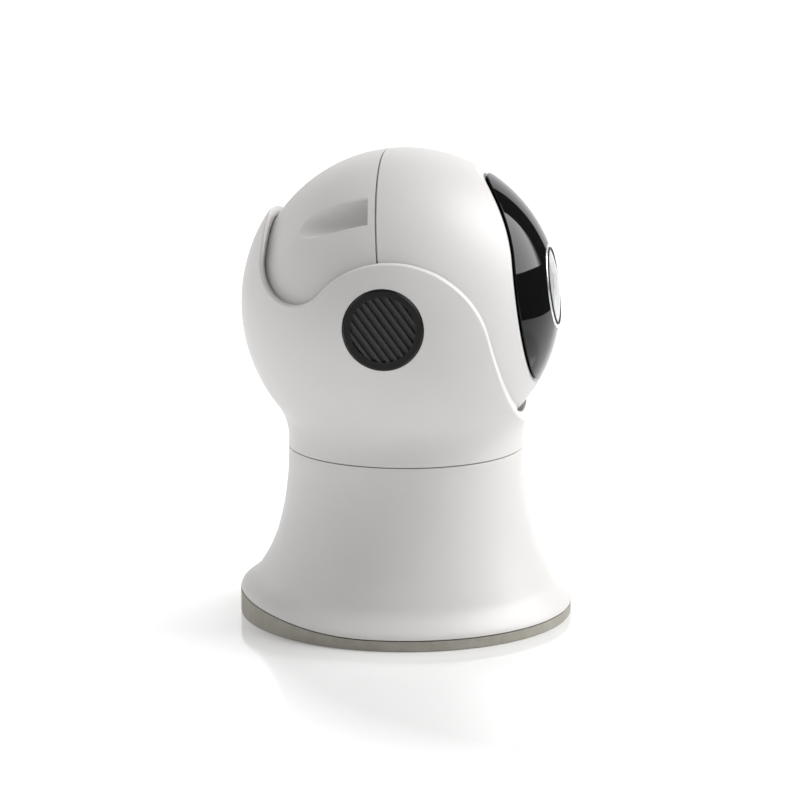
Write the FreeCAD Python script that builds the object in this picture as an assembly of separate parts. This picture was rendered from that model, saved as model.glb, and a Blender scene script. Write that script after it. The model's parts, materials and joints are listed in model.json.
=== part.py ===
import FreeCAD, Part
import os
from math import acos, cos, pi, radians, sin, sqrt, tan

# Motorised pan-and-tilt baby monitor camera on a flared foot.
# Millimetres.  +Z is up, the lens looks towards -Y, and the origin is the centre of the foot's
# underside.  "Right" is the object's own right-hand side, which is -X.

Vector = FreeCAD.Vector
X_AXIS = Vector(1, 0, 0)
Y_AXIS = Vector(0, 1, 0)
Z_AXIS = Vector(0, 0, 1)
FAR = 120.0                 # reaches past the whole object

# ---------------------------------------------------------------- foot and flared base
BASE_R = 47.5
FOOT_H = 2.9                # height of the grey foot at the front and sides
FOOT_SLOPE = 7.6            # degrees, the foot thickens towards the rear
FOOT_BEND_Y = 15.1          # where the flat top would meet the slope
FOOT_BEND_R = 165.0
FOOT_GAP = 0.34             # shadow gap between foot and shell
SEAM_Z = 48.7               # the turning joint between base and cradle
SEAM_GAP = 0.3
NECK_R = 33.5
FLARE = 7.7                 # how far the bell stands out from the neck at KNEE_Z
KNEE_Z = 12.0
FLARE_POWER = 2.2
FLARE_LEVEL_Z = 26.0        # above this height the bell is round about the axis
BASE_WALL = 2.4
BELL_POINTS = 40            # points round each level of the bell

# ---------------------------------------------------------------- turning deck and pan drive
DECK_Z = 32.0
DECK_T = 2.6
HUB_R = 6.5
HUB_BORE_R = 4.0
RUNNING_FIT = 0.05
PAN_MODULE = 0.8
PAN_GEAR_TEETH = 48
PAN_PINION_TEETH = 12
PAN_GEAR_Z = 35.2
PAN_GEAR_T = 3.8
FLANGE_R = 28.6
FLANGE_T = 2.8
PAN_DRIVE_ANGLE = 35.0      # degrees round from +X to the pan motor
CRADLE_BOSS_PCR = 24.5
PAN_CENTRES = PAN_MODULE * (PAN_GEAR_TEETH + PAN_PINION_TEETH) / 2
PAN_FLANGE_Z = PAN_GEAR_Z + PAN_GEAR_T

# ---------------------------------------------------------------- ball head and cradle
BALL_Z = 89.65
BALL_R = 43.86
HEAD_TILT = 7.65            # the lens looks this far above the level at rest
HEAD_WALL = 2.2
HEAD_SEAM_GAP = 0.44        # between the two halves of the ball
SEAM_ROUND = 0.25
CRADLE_R = 46.7
CRADLE_WALL = 2.54
NECK_BLEND_R = 16.0
LIP_LEAN = 13.0             # degrees the front lip leans from the vertical
LIP_FILLET = 0.6
ARCH_CENTRE = (1.6, -9.0)   # (forward, up) from the ball's centre
ARCH_R = 26.7
VALLEY_R = 10.4
TAB_FRONT = -37.0           # forward coordinate of the rear tab's face
TAB_TOP = 26.2
TAB_CORNER_R = 2.0
LIP_RELIEF_R = 45.25        # shallow relief inside the middle of the front lip
LIP_RELIEF = (26.0, 14.0, 6.4)      # its width, depth and height
LIP_RELIEF_UP = -29.6

# ---------------------------------------------------------------- ears
GRILLE_R = 11.24
GRILLE_FACE = 45.8
GRILLE_T = 2.1
SLAT_PITCH = 2.0
SLAT_ANGLE = 53.0           # degrees the slats lean from the level, high at the rear
SLAT_THICK = 1.15
SLAT_H = 1.3
SLAT_BEVEL = 0.24
SLAT_FACE = GRILLE_FACE - 0.25
SLAT_ZONE_R = 9.0
EAR_HOLE_R = 11.3
CUP_R = 11.2
CUP_WALL = 1.0
CUP_FLOOR = 36.3
CUP_FLOOR_T = 2.0
POCKET_R = 15.5
POCKET_FLOOR = 35.5
PIVOT_R = 4.95
AXLE_KEY = 6.2              # square on the fixed axle's end, held by the left ear cup
BUSH_R = 6.5

# ---------------------------------------------------------------- visor and lens
VISOR_FACE = 35.0           # forward coordinate of the visor's edge below the lens
VISOR_ARC_UP = 11.0
VISOR_ARC_R = 38.5
VISOR_T = 1.6
VISOR_GAP = 0.6             # dark groove round the visor
VISOR_STEP = 0.7            # the visor's border is this far below its face
VISOR_ROUND = 0.2
LENS_RING_R = 12.0
LENS_RING_W = 1.1
LENS_RING_FACE = 42.45
WINDOW_R = 10.45
WINDOW_T = 1.3
SEAL_FACE = 42.78           # the hood's rim stands up round the window as a dark seal

# ---------------------------------------------------------------- grip scoops in the rear shell
SCOOP_ANGLE = 44.9          # degrees up from the side, seen from the front
SCOOP_FRONT = 2.15          # distance of the flat end wall behind the ball's centre plane
SCOOP_R = 4.53
SCOOP_AXIS_R = 42.1         # distance of the groove's axis from the lens axis
SCOOP_WALL = 1.8
SCOOP_ROUND = 0.35          # softening of the scoop's long edges

# ---------------------------------------------------------------- tilt drive
TILT_MODULE = 0.6
TILT_GEAR_TEETH = 30
TILT_PINION_TEETH = 12
TILT_GEAR_X = 28.2
TILT_GEAR_T = 3.0
TILT_DRIVE_ANGLE = -135.0   # degrees from straight ahead, in the head
TILT_CENTRES = TILT_MODULE * (TILT_GEAR_TEETH + TILT_PINION_TEETH) / 2
TILT_MOTOR_FACE = 27.0
HEAD_SCREW_UP = 12.4

# ---------------------------------------------------------------- card slot and reset button
SERVICE_ANGLE = -60.0       # degrees below straight ahead, in the head
RESET_X = 11.0
RESET_R = 1.1
RESET_UP = 1.8
CARD_UP = 1.45

# ---------------------------------------------------------------- boards in the head
# Each board is given as (rear face, front face), forward of the ball's centre.
MAIN_BOARD = (6.8, 8.0)
SENSOR_BOARD = (12.0, 13.2)
IR_BOARD = (31.4, 32.6)
POST_SPREAD = 15.0          # half the distance between the corner posts
LED_PCR = 17.5
LED_COUNT = 6
BOARD_HOLE_R = 1.1

# ---------------------------------------------------------------- fixing circles
CORNER_ANGLES = (45, 135, 225, 315)
THIRD_ANGLES = (0, 120, 240)
BOSS_ANGLES = (60, 180, 300)
INLET_POST_ANGLES = (76, 104)
BASE_BOSS_PCR = 41.0
INLET_POST_PCR = 36.5
DECK_R = 30.9
DECK_SCREW_PCR = 29.2
RETAINER_PCR = 5.3

# ---------------------------------------------------------------- gears and motors
BACKLASH = 0.16
PRESSURE_ANGLE = 20.0
FLANK_STEPS = 4
MOTOR_R = 10.0
MOTOR_LEN = 15.0
MOTOR_OFFSET = 3.5          # shaft to can centre
MOTOR_EAR = 12.5            # can centre to each mounting hole
MOTOR_EAR_R = 2.6
SHAFT_R = 1.5


# ================================================================ plain helpers
def cylinder(radius, length, start, axis=Z_AXIS):
    return Part.makeCylinder(radius, length, Vector(*start), axis)


def tube(outer, inner, length, start, axis=Z_AXIS):
    return cylinder(outer, length, start, axis).cut(cylinder(inner, length, start, axis))


def cone(r_start, r_end, length, start, axis=Z_AXIS):
    return Part.makeCone(r_start, r_end, length, Vector(*start), axis)


def box(size, centre):
    corner = Vector(*centre) - Vector(*size) * 0.5
    return Part.makeBox(size[0], size[1], size[2], corner)


def sphere(radius, axis=Z_AXIS):
    return Part.makeSphere(radius, Vector(0, 0, BALL_Z), axis)


def group(shapes):
    return Part.makeCompound(shapes)


def fuse(shapes):
    return shapes[0].fuse(shapes[1:]).removeSplitter()


def polar(radius, angle, z=0.0):
    return (radius * cos(radians(angle)), radius * sin(radians(angle)), z)


def turned(shape, angle, centre=(0, 0, 0), axis=Z_AXIS):
    copy = shape.copy()
    copy.rotate(Vector(*centre), axis, angle)
    return copy


def mirrored_x(shape):
    return shape.mirror(Vector(0, 0, 0), X_AXIS)


def side_point(forward, up, x=0.0):
    """A point given forward and up from the ball's centre."""
    return Vector(x, -forward, BALL_Z + up)


def prism_across(edges, half_width=FAR):
    """A closed side outline swept across the whole width of the object."""
    face = Part.Face(Part.Wire(edges))
    face.translate(Vector(-half_width, 0, 0))
    return face.extrude(Vector(2 * half_width, 0, 0))


def polyline(points):
    return [Part.LineSegment(a, b).toShape() for a, b in zip(points, points[1:])]


def arc(start, middle, end):
    return Part.Arc(start, middle, end).toShape()


def in_head(shape):
    """Tilt a head piece, drawn with the lens level, to its resting angle."""
    return turned(shape, HEAD_TILT, (0, 0, BALL_Z), Vector(-1, 0, 0))


def smooth(shape, edges, radius):
    """Fillet the edges, which has to leave one valid solid."""
    rounded = shape.makeFillet(radius, edges)
    if not rounded.isValid():
        raise RuntimeError("fillet failed")
    return rounded


def screw(head_r, head_h, shank_r, shank_len, start, axis):
    """A pan-head screw with a cross recess; start is under its head, axis points to its tip."""
    direction = Vector(*axis)
    under_head = Vector(*start)
    top = under_head - direction * head_h
    head = Part.makeCylinder(head_r, head_h, top, direction)
    shank = Part.makeCylinder(shank_r, shank_len, under_head, direction)
    recess = Part.makeCone(head_r * 0.42, head_r * 0.12, head_h * 0.7, top, direction)
    return head.fuse(shank).cut(recess)


def gear(teeth, module, thickness, z, phase):
    """An involute spur gear about the Z axis; phase turns it by that many degrees."""
    pitch_r = teeth * module / 2.0
    base_r = pitch_r * cos(radians(PRESSURE_ANGLE))
    tip_r = pitch_r + 0.95 * module
    root_r = pitch_r - 1.25 * module
    half_tooth = pi / (2 * teeth) - BACKLASH / (2 * pitch_r)
    involute_at_pitch = tan(radians(PRESSURE_ANGLE)) - radians(PRESSURE_ANGLE)

    def flank(radius):
        pressure = acos(min(1.0, base_r / radius))
        return half_tooth + involute_at_pitch - (tan(pressure) - pressure)

    start_r = max(base_r, root_r)
    radii = [start_r + (tip_r - start_r) * i / FLANK_STEPS for i in range(FLANK_STEPS + 1)]
    points = []
    for tooth in range(teeth):
        middle = 2 * pi * tooth / teeth + radians(phase)
        side = [(r, flank(r)) for r in radii]
        if root_r < start_r:
            side.insert(0, (root_r, flank(start_r)))
        outline = [(r, middle - a) for r, a in side] + [(r, middle + a) for r, a in reversed(side)]
        points += [Vector(r * cos(a), r * sin(a), z) for r, a in outline]
    points.append(points[0])
    return Part.Face(Part.makePolygon(points)).extrude(Vector(0, 0, thickness))


def stepper(shaft_at, can_towards, face, axis):
    """A small geared stepper: can with mounting ears; face is its front plane along axis.

    shaft_at and can_towards lie in the plane through the shaft's start, and the can's centre
    is MOTOR_OFFSET from the shaft in the direction can_towards.
    """
    direction = Vector(*axis)
    sideways = Vector(*can_towards)
    across = direction.cross(sideways)
    front = Vector(*shaft_at) + direction * face
    centre = front + sideways * MOTOR_OFFSET
    can = Part.makeCylinder(MOTOR_R, MOTOR_LEN, centre - direction * MOTOR_LEN, direction)
    can = can.fuse(Part.makeCylinder(MOTOR_R - 0.8, 0.8, centre - direction * (MOTOR_LEN + 0.8), direction))
    ends = [centre + across * (MOTOR_EAR * sign) - direction for sign in (1, -1)]
    reach = sideways * MOTOR_EAR_R
    strap = Part.makePolygon([ends[0] + reach, ends[1] + reach, ends[1] - reach, ends[0] - reach,
                              ends[0] + reach])
    plate = [Part.Face(strap).extrude(direction)]
    plate += [Part.makeCylinder(MOTOR_EAR_R, 1.0, end, direction) for end in ends]
    body = can.fuse(plate)
    holes = [Part.makeCylinder(1.15, 3.0, end - direction, direction) for end in ends]
    shaft_room = Part.makeCylinder(SHAFT_R + 0.1, 6.0, front - direction * 6.0, direction)
    return body.cut(group(holes)).cut(shaft_room).removeSplitter()


def stepper_holes(shaft_at, can_towards, face, axis):
    """Centres of the two mounting holes on the stepper's front plane."""
    direction = Vector(*axis)
    sideways = Vector(*can_towards)
    across = direction.cross(sideways)
    centre = Vector(*shaft_at) + direction * face + sideways * MOTOR_OFFSET
    return [centre + across * MOTOR_EAR, centre - across * MOTOR_EAR]


# ================================================================ base
def foot_rise(y):
    """How far the top of the foot has risen above FOOT_H at depth y."""
    slope = radians(FOOT_SLOPE)
    start = FOOT_BEND_Y - FOOT_BEND_R * tan(slope / 2)
    end = FOOT_BEND_Y + FOOT_BEND_R * sin(slope) - FOOT_BEND_R * tan(slope / 2)
    if y <= start:
        return 0.0
    if y <= end:
        return FOOT_BEND_R - sqrt(FOOT_BEND_R ** 2 - (y - start) ** 2)
    return (y - FOOT_BEND_Y) * tan(slope)


def under_foot_line(lift):
    """Everything below the foot's top line, raised by lift."""
    slope = radians(FOOT_SLOPE)
    tangent = FOOT_BEND_R * tan(slope / 2)
    top = FOOT_H + lift
    flat_end = Vector(0, FOOT_BEND_Y - tangent, top)
    slope_start = Vector(0, FOOT_BEND_Y + tangent * cos(slope), top + tangent * sin(slope))
    half = slope / 2
    bend = Vector(0, flat_end.y + FOOT_BEND_R * sin(half), top + FOOT_BEND_R * (1 - cos(half)))
    rear_end = Vector(0, FAR, slope_start.z + (FAR - slope_start.y) * tan(slope))
    edges = polyline([Vector(0, -FAR, top), flat_end])
    edges.append(arc(flat_end, bend, slope_start))
    edges += polyline([slope_start, rear_end, Vector(0, FAR, -FAR), Vector(0, -FAR, -FAR),
                       Vector(0, -FAR, top)])
    return prism_across(edges)


def bell_profile():
    """(radius, height) of the bell, from under the rim up to the turning joint."""
    rim = [(BASE_R, -4.0), (BASE_R, 0.0), (BASE_R, FOOT_H)]
    rim += [(BASE_R - 0.5, 4.2), (BASE_R - 1.7, 5.6), (BASE_R - 3.2, 7.1), (BASE_R - 4.5, 8.6),
            (BASE_R - 5.5, 10.2)]
    top = SEAM_Z - SEAM_GAP / 2
    levels = [KNEE_Z + (top - KNEE_Z) * (i / 9.0) ** 1.15 for i in range(10)]
    span = SEAM_Z - KNEE_Z
    return rim + [(NECK_R + FLARE * ((SEAM_Z - z) / span) ** FLARE_POWER, z) for z in levels]


def bell(inset):
    """The flared bell as a solid.  Its lower part is lifted at the rear along with the foot."""
    wires = []
    for radius, z in bell_profile():
        fade = min(1.0, max(0.0, (z - FOOT_H) / (FLARE_LEVEL_Z - FOOT_H)))
        share = 0.5 * (1 + cos(pi * fade)) if z >= 0 else 0.0
        ring = []
        for step in range(BELL_POINTS):
            angle = 2 * pi * step / BELL_POINTS
            y = radius * sin(angle)
            lift = foot_rise(y) * share
            ring.append(Vector((radius - inset) * cos(angle), (radius - inset) * sin(angle), z + lift))
        curve = Part.BSplineCurve()
        curve.interpolate(Points=ring, PeriodicFlag=True)
        wires.append(Part.Wire(curve.toShape()))
    return Part.makeLoft(wires, True, False)


def inlet_pocket():
    """The recess in the raised rear of the foot that a power plug's shoulder fits into."""
    pocket = box((11.0, 12.0, 5.0), (0, BASE_R - 4.4 + 6.0, 3.9))
    return smooth(pocket, [e for e in pocket.Edges if abs(e.tangentAt(0).y) > 0.9], 1.2)


def make_foot_pad():
    foot = cylinder(BASE_R, 12.0, (0, 0, 0)).common(under_foot_line(0.0))
    foot = foot.cut(cylinder(45.2, 12.0, (0, 0, 1.2)))
    low_edge = [e for e in foot.Edges if e.BoundBox.ZMax < 0.01]
    foot = smooth(foot, low_edge, 0.5)
    screw_holes = [cylinder(3.1, 3.0, polar(BASE_BOSS_PCR, angle, -1.0)) for angle in CORNER_ANGLES]
    return foot.cut(group([inlet_pocket()] + screw_holes))


def make_bottom_plate():
    plate = cylinder(44.9, 1.4, (0, 0, 1.25))
    posts = [cylinder(3.0, 2.7, polar(INLET_POST_PCR, angle, 2.65)) for angle in INLET_POST_ANGLES]
    pilots = [cylinder(1.0, 4.0, polar(INLET_POST_PCR, angle, 1.5)) for angle in INLET_POST_ANGLES]
    holes = [cylinder(1.6, 2.0, polar(BASE_BOSS_PCR, angle, 1.0)) for angle in CORNER_ANGLES]
    notch = box((11.6, 4.0, 4.0), (0, BASE_R - 4.6 + 2.0, 2.0))
    return fuse([plate] + posts).cut(group(holes + pilots + [notch]))


def make_base_shell():
    shell = bell(0.0).cut(bell(BASE_WALL)).cut(under_foot_line(FOOT_GAP))
    bosses = [cylinder(3.4, 10.0, polar(BASE_BOSS_PCR, angle, 2.75)) for angle in CORNER_ANGLES]
    ledges = [turned(box((12.0, 6.0, 9.0), (34.0, 0, DECK_Z - 4.5)), angle) for angle in THIRD_ANGLES]
    inside = group(bosses + ledges).common(bell(BASE_WALL * 0.5))
    pilots = [cylinder(1.0, 7.0, polar(BASE_BOSS_PCR, angle, 2.0)) for angle in CORNER_ANGLES]
    pilots += [cylinder(1.0, 7.0, polar(DECK_SCREW_PCR, angle, DECK_Z - 7.0)) for angle in THIRD_ANGLES]
    return fuse([shell] + inside.Solids).cut(group(pilots))


def make_ballast_plate():
    plate = cylinder(30.0, 3.0, (0, 0, 2.7))
    notch = box((24.0, 20.0, 4.0), (0, 36.0, 4.0))
    return plate.cut(notch).cut(cylinder(5.0, 4.0, (0, 0, 2.5)))


def make_power_socket():
    """The small trapezoid-section charging socket behind the inlet recess."""
    face_y = BASE_R - 4.5
    body = box((7.6, 5.2, 2.5), (0, face_y - 2.6, 4.1))
    mouth = box((6.6, 4.6, 1.7), (0, face_y - 2.2, 4.1))
    tongue = box((4.6, 4.2, 0.6), (0, face_y - 2.6, 4.3))
    return body.cut(mouth).fuse(tongue).removeSplitter()


def make_power_board():
    board = box((26.0, 15.0, 1.2), (0, 35.4, 5.95))
    return board.cut(group([cylinder(1.2, 3.0, polar(INLET_POST_PCR, a, 5.0)) for a in INLET_POST_ANGLES]))


def make_base_deck():
    deck = cylinder(DECK_R, DECK_T, (0, 0, DECK_Z))
    stop = turned(box((1.7, 2.0, PAN_FLANGE_Z + FLANGE_T - DECK_Z), (30.0, 0, 0)), 90)
    stop.translate(Vector(0, 0, (PAN_FLANGE_Z + FLANGE_T + DECK_Z) / 2))
    holes = [cylinder(1.2, 4.0, polar(DECK_SCREW_PCR, angle, DECK_Z - 0.5)) for angle in THIRD_ANGLES]
    holes.append(cylinder(HUB_R + RUNNING_FIT, 4.0, (0, 0, DECK_Z - 0.5)))
    holes.append(cylinder(2.2, 4.0, polar(PAN_CENTRES, PAN_DRIVE_ANGLE, DECK_Z - 0.5)))
    holes += [Part.makeCylinder(0.9, 2.0, point) for point in pan_motor_holes()]
    return deck.fuse(stop).cut(group(holes))


def pan_motor_pose():
    """Shaft position and the direction from it to the can, which lies nearer the hub."""
    inwards = Vector(*polar(-1.0, PAN_DRIVE_ANGLE))
    return polar(PAN_CENTRES, PAN_DRIVE_ANGLE), inwards


def make_pan_motor():
    at, towards = pan_motor_pose()
    return stepper(at, towards, DECK_Z, (0, 0, 1))


def pan_motor_holes():
    at, towards = pan_motor_pose()
    return stepper_holes(at, towards, DECK_Z, (0, 0, 1))


def make_pan_motor_screws():
    return group([screw(2.0, 1.2, 0.85, 2.6, hole - Z_AXIS, (0, 0, 1)) for hole in pan_motor_holes()])


def make_pan_slip_ring():
    return tube(11.5, 7.2, PAN_GEAR_Z - DECK_Z - DECK_T, (0, 0, DECK_Z + DECK_T))


def make_base_screws():
    return group([screw(2.8, 1.0, 0.98, 7.0, polar(BASE_BOSS_PCR, a, 1.25), (0, 0, 1))
                  for a in CORNER_ANGLES])


def make_deck_screws():
    return group([screw(2.2, 1.4, 0.98, 8.0, polar(DECK_SCREW_PCR, a, DECK_Z + DECK_T), (0, 0, -1))
                  for a in THIRD_ANGLES])


def make_board_screws():
    return group([screw(1.9, 1.0, 0.98, 4.0, polar(INLET_POST_PCR, a, 6.55), (0, 0, -1))
                  for a in INLET_POST_ANGLES])


def make_pan_pinion():
    half_pitch = 180.0 / PAN_PINION_TEETH
    pinion = gear(PAN_PINION_TEETH, PAN_MODULE, PAN_GEAR_T - 0.5, PAN_GEAR_Z,
                  PAN_DRIVE_ANGLE + 180.0 + half_pitch)
    pinion.translate(Vector(*polar(PAN_CENTRES, PAN_DRIVE_ANGLE)))
    shaft = cylinder(SHAFT_R, PAN_GEAR_T + 6.8, polar(PAN_CENTRES, PAN_DRIVE_ANGLE, DECK_Z - 4.0))
    return pinion.fuse(shaft)


# ================================================================ cradle
def outer_cradle():
    """Neck and round body of the cradle, with nothing taken out."""
    reach = CRADLE_R + NECK_BLEND_R
    out = NECK_R + NECK_BLEND_R
    drop = sqrt(reach ** 2 - out ** 2)
    blend_z = BALL_Z - drop
    on_ball = Vector(out * CRADLE_R / reach, 0, BALL_Z - drop * CRADLE_R / reach)
    angle_on_ball = pi - acos(out / reach)
    middle = (pi + angle_on_ball) / 2
    on_blend = Vector(out + NECK_BLEND_R * cos(middle), 0, blend_z + NECK_BLEND_R * sin(middle))
    bottom = SEAM_Z + SEAM_GAP / 2
    edges = polyline([Vector(0, 0, bottom), Vector(NECK_R, 0, bottom), Vector(NECK_R, 0, blend_z)])
    edges.append(arc(Vector(NECK_R, 0, blend_z), on_blend, on_ball))
    edges += polyline([on_ball, Vector(0, 0, on_ball.z), Vector(0, 0, bottom)])
    neck = Part.Face(Part.Wire(edges)).revolve(Vector(0, 0, 0), Z_AXIS, 360)
    return neck


def above_rim():
    """The space above the cradle's rim: front lip, ear arch, valley and rear tab."""
    lean = radians(LIP_LEAN)
    ax, az = ARCH_CENTRE
    lip_top = (ax + ARCH_R * cos(lean), az + ARCH_R * sin(lean))
    lip_low = (lip_top[0] + 34.0 * sin(lean), lip_top[1] - 34.0 * cos(lean))
    vx = TAB_FRONT + VALLEY_R
    vz = az + sqrt((ARCH_R + VALLEY_R) ** 2 - (vx - ax) ** 2)
    share = ARCH_R / (ARCH_R + VALLEY_R)
    meet = (ax + (vx - ax) * share, az + (vz - az) * share)
    valley_low = (vx - VALLEY_R * sin(radians(40)), vz - VALLEY_R * cos(radians(40)))
    corner = TAB_CORNER_R * (1 - sqrt(0.5))
    edges = polyline([side_point(*lip_low), side_point(*lip_top)])
    edges.append(arc(side_point(*lip_top), side_point(ax, az + ARCH_R), side_point(*meet)))
    edges.append(arc(side_point(*meet), side_point(*valley_low), side_point(TAB_FRONT, vz)))
    edges += polyline([side_point(TAB_FRONT, vz), side_point(TAB_FRONT, TAB_TOP - TAB_CORNER_R)])
    edges.append(arc(side_point(TAB_FRONT, TAB_TOP - TAB_CORNER_R),
                     side_point(TAB_FRONT - corner, TAB_TOP - corner),
                     side_point(TAB_FRONT - TAB_CORNER_R, TAB_TOP)))
    edges += polyline([side_point(TAB_FRONT - TAB_CORNER_R, TAB_TOP), side_point(-FAR, TAB_TOP),
                       side_point(-FAR, FAR), side_point(FAR, FAR), side_point(FAR, lip_low[1]),
                       side_point(*lip_low)])
    return prism_across(edges)


def on_sphere(edge, radius, tolerance=0.02):
    """Whether an edge lies on a sphere about the ball's centre."""
    centre = Vector(0, 0, BALL_Z)
    places = [edge.valueAt(edge.FirstParameter + (edge.LastParameter - edge.FirstParameter) * i / 4.0)
              for i in range(5)]
    return all(abs((place - centre).Length - radius) < tolerance for place in places)


def make_cradle_shell():
    body = outer_cradle().fuse(sphere(CRADLE_R)).removeSplitter()
    body = body.cut(above_rim())
    rim = [e for e in body.Edges if on_sphere(e, CRADLE_R) and e.BoundBox.ZMax > BALL_Z - 25.0]
    body = smooth(body, rim, LIP_FILLET)
    hollow = tube_below_seam()
    body = body.cut(hollow)
    bosses = [cylinder(3.3, 14.0, polar(CRADLE_BOSS_PCR, a, PAN_FLANGE_Z + FLANGE_T))
              for a in BOSS_ANGLES]
    rings = [cylinder(EAR_HOLE_R + 2.2, 6.0, (sign * 41.2, 0, BALL_Z), Vector(sign, 0, 0))
             .common(sphere(CRADLE_R - 0.5)) for sign in (1, -1)]
    body = body.cut(sphere(CRADLE_R - CRADLE_WALL)).cut(lip_relief())
    body = body.fuse(rings + [boss.cut(sphere(CRADLE_R - 0.5 * CRADLE_WALL)) for boss in bosses])
    holes = [cylinder(EAR_HOLE_R, 12.0, (sign * 38.0, 0, BALL_Z), Vector(sign, 0, 0)) for sign in (1, -1)]
    holes += [cylinder(1.0, 9.0, polar(CRADLE_BOSS_PCR, a, PAN_FLANGE_Z)) for a in BOSS_ANGLES]
    return body.cut(group(holes)).removeSplitter()


def lip_relief():
    """Widens the gap between the ball and the middle of the front lip."""
    return sphere(LIP_RELIEF_R).common(box(LIP_RELIEF, side_point(34.0, LIP_RELIEF_UP)))


def tube_below_seam():
    """The ring-shaped hollow inside the neck, between its skin and the bowl under the ball."""
    room = cylinder(NECK_R - CRADLE_WALL, 12.0, (0, 0, SEAM_Z))
    return room.cut(sphere(CRADLE_R))


def make_pan_gear():
    """Turntable: gear teeth below, a round flange that carries the cradle, and the hub."""
    teeth = gear(PAN_GEAR_TEETH, PAN_MODULE, PAN_GEAR_T, PAN_GEAR_Z, PAN_DRIVE_ANGLE)
    flange = cylinder(FLANGE_R, FLANGE_T, (0, 0, PAN_FLANGE_Z))
    tab = turned(box((3.4, 2.0, FLANGE_T), (FLANGE_R + 0.3, 0, PAN_FLANGE_Z + FLANGE_T / 2)), -90)
    hub = cylinder(HUB_R, PAN_GEAR_Z - DECK_Z + 0.4, (0, 0, DECK_Z - 0.4))
    holes = [cylinder(1.3, 6.0, polar(CRADLE_BOSS_PCR, a, PAN_FLANGE_Z - 1)) for a in BOSS_ANGLES]
    holes.append(cylinder(HUB_BORE_R, 14.0, (0, 0, DECK_Z - 2)))
    holes += [cylinder(2.4, 2.4, polar(CRADLE_BOSS_PCR, a, PAN_FLANGE_Z - 1)) for a in BOSS_ANGLES]
    holes += [cylinder(0.8, 5.0, polar(RETAINER_PCR, a, DECK_Z - 1)) for a in THIRD_ANGLES]
    return fuse([teeth, flange, tab, hub]).cut(group(holes))


def make_pan_retainer():
    ring = tube(8.6, HUB_BORE_R, 1.4, (0, 0, DECK_Z - 1.8))
    return ring.cut(group([cylinder(0.95, 3.0, polar(RETAINER_PCR, a, DECK_Z - 2.5))
                           for a in THIRD_ANGLES]))


def make_retainer_screws():
    return group([screw(1.2, 0.8, 0.78, 4.0, polar(RETAINER_PCR, a, DECK_Z - 1.8), (0, 0, 1))
                  for a in THIRD_ANGLES])


def make_cradle_screws():
    return group([screw(2.2, 1.2, 0.98, 7.0, polar(CRADLE_BOSS_PCR, a, PAN_FLANGE_Z + 1.4), (0, 0, 1))
                  for a in BOSS_ANGLES])


def ear_axis(sign):
    return Vector(sign, 0, 0)


def make_ear_cup(sign, floor_hole):
    """Cup that closes the ear's inside; the tilt axle passes through the hole in its floor."""
    axis = ear_axis(sign)
    depth = GRILLE_FACE - GRILLE_T - 0.1 - CUP_FLOOR
    cup = cylinder(CUP_R, depth, (sign * CUP_FLOOR, 0, BALL_Z), axis)
    cup = cup.cut(cylinder(CUP_R - CUP_WALL, depth, (sign * (CUP_FLOOR + CUP_FLOOR_T), 0, BALL_Z), axis))
    return cup.cut(floor_hole)


def make_left_ear_cup():
    return make_ear_cup(1, box((6.0, AXLE_KEY, AXLE_KEY), (CUP_FLOOR + 1.0, 0, BALL_Z)))


def make_right_ear_cup():
    return make_ear_cup(-1, cylinder(BUSH_R, 6.0, (-CUP_FLOOR - 5.0, 0, BALL_Z), X_AXIS))


def slat(sign, z):
    """One level slat with its two outer edges bevelled."""
    face = SLAT_FACE * sign
    bar = box((SLAT_H, 2 * SLAT_ZONE_R + 2, SLAT_THICK), (face - sign * SLAT_H / 2, 0, z))
    outer = [e for e in bar.Edges if abs(e.tangentAt(0).y) > 0.9 and abs(e.BoundBox.Center.x - face) < 0.01]
    return bar.makeChamfer(SLAT_BEVEL, outer)


def make_grille(sign):
    """Round ear grille: bevelled rim and leaning slats in front of a closed back."""
    axis = ear_axis(sign)
    back = GRILLE_FACE - GRILLE_T
    disc = cylinder(GRILLE_R, GRILLE_T, (sign * back, 0, BALL_Z), axis)
    outer_edge = [e for e in disc.Edges if abs(abs(e.BoundBox.Center.x) - GRILLE_FACE) < 0.01
                  and e.BoundBox.DiagonalLength > 10]
    disc = disc.makeChamfer(0.55, outer_edge)
    well = cylinder(SLAT_ZONE_R, 1.5, (sign * (GRILLE_FACE - 1.3), 0, BALL_Z), axis)
    count = int(SLAT_ZONE_R / SLAT_PITCH) + 1
    bars = [slat(sign, BALL_Z + index * SLAT_PITCH) for index in range(-count, count + 1)]
    bars = turned(group(bars), SLAT_ANGLE, (0, 0, BALL_Z), X_AXIS)
    bars = bars.common(cylinder(SLAT_ZONE_R + 0.3, 4.0, (sign * (back - 1), 0, BALL_Z), axis))
    return disc.cut(well).fuse(bars.Solids).removeSplitter()


def make_speaker():
    """Round driver: frame ring, magnet pot behind and a shallow cone in front."""
    frame = cylinder(9.9, 2.2, (-40.6, 0, BALL_Z), Vector(-1, 0, 0))
    pot = cylinder(6.6, 2.1, (-38.5, 0, BALL_Z), Vector(-1, 0, 0))
    dish = cone(5.0, 9.0, 1.2, (-41.7, 0, BALL_Z), Vector(-1, 0, 0))
    cap = Part.makeSphere(4.2, Vector(-39.0, 0, BALL_Z))
    cap = cap.common(cylinder(3.4, 1.6, (-41.5, 0, BALL_Z), Vector(-1, 0, 0)))
    return fuse([frame.cut(dish), pot, cap])


def make_microphone_board():
    board = cylinder(9.6, 1.0, (41.6, 0, BALL_Z), X_AXIS)
    capsule = cylinder(2.0, 1.2, (42.5, 4.5, BALL_Z + 2.0), X_AXIS)
    return board.fuse(capsule)


def make_right_ear_bush():
    return tube(BUSH_R, PIVOT_R + RUNNING_FIT, CUP_FLOOR_T, (-CUP_FLOOR, 0, BALL_Z), Vector(-1, 0, 0))


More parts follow.
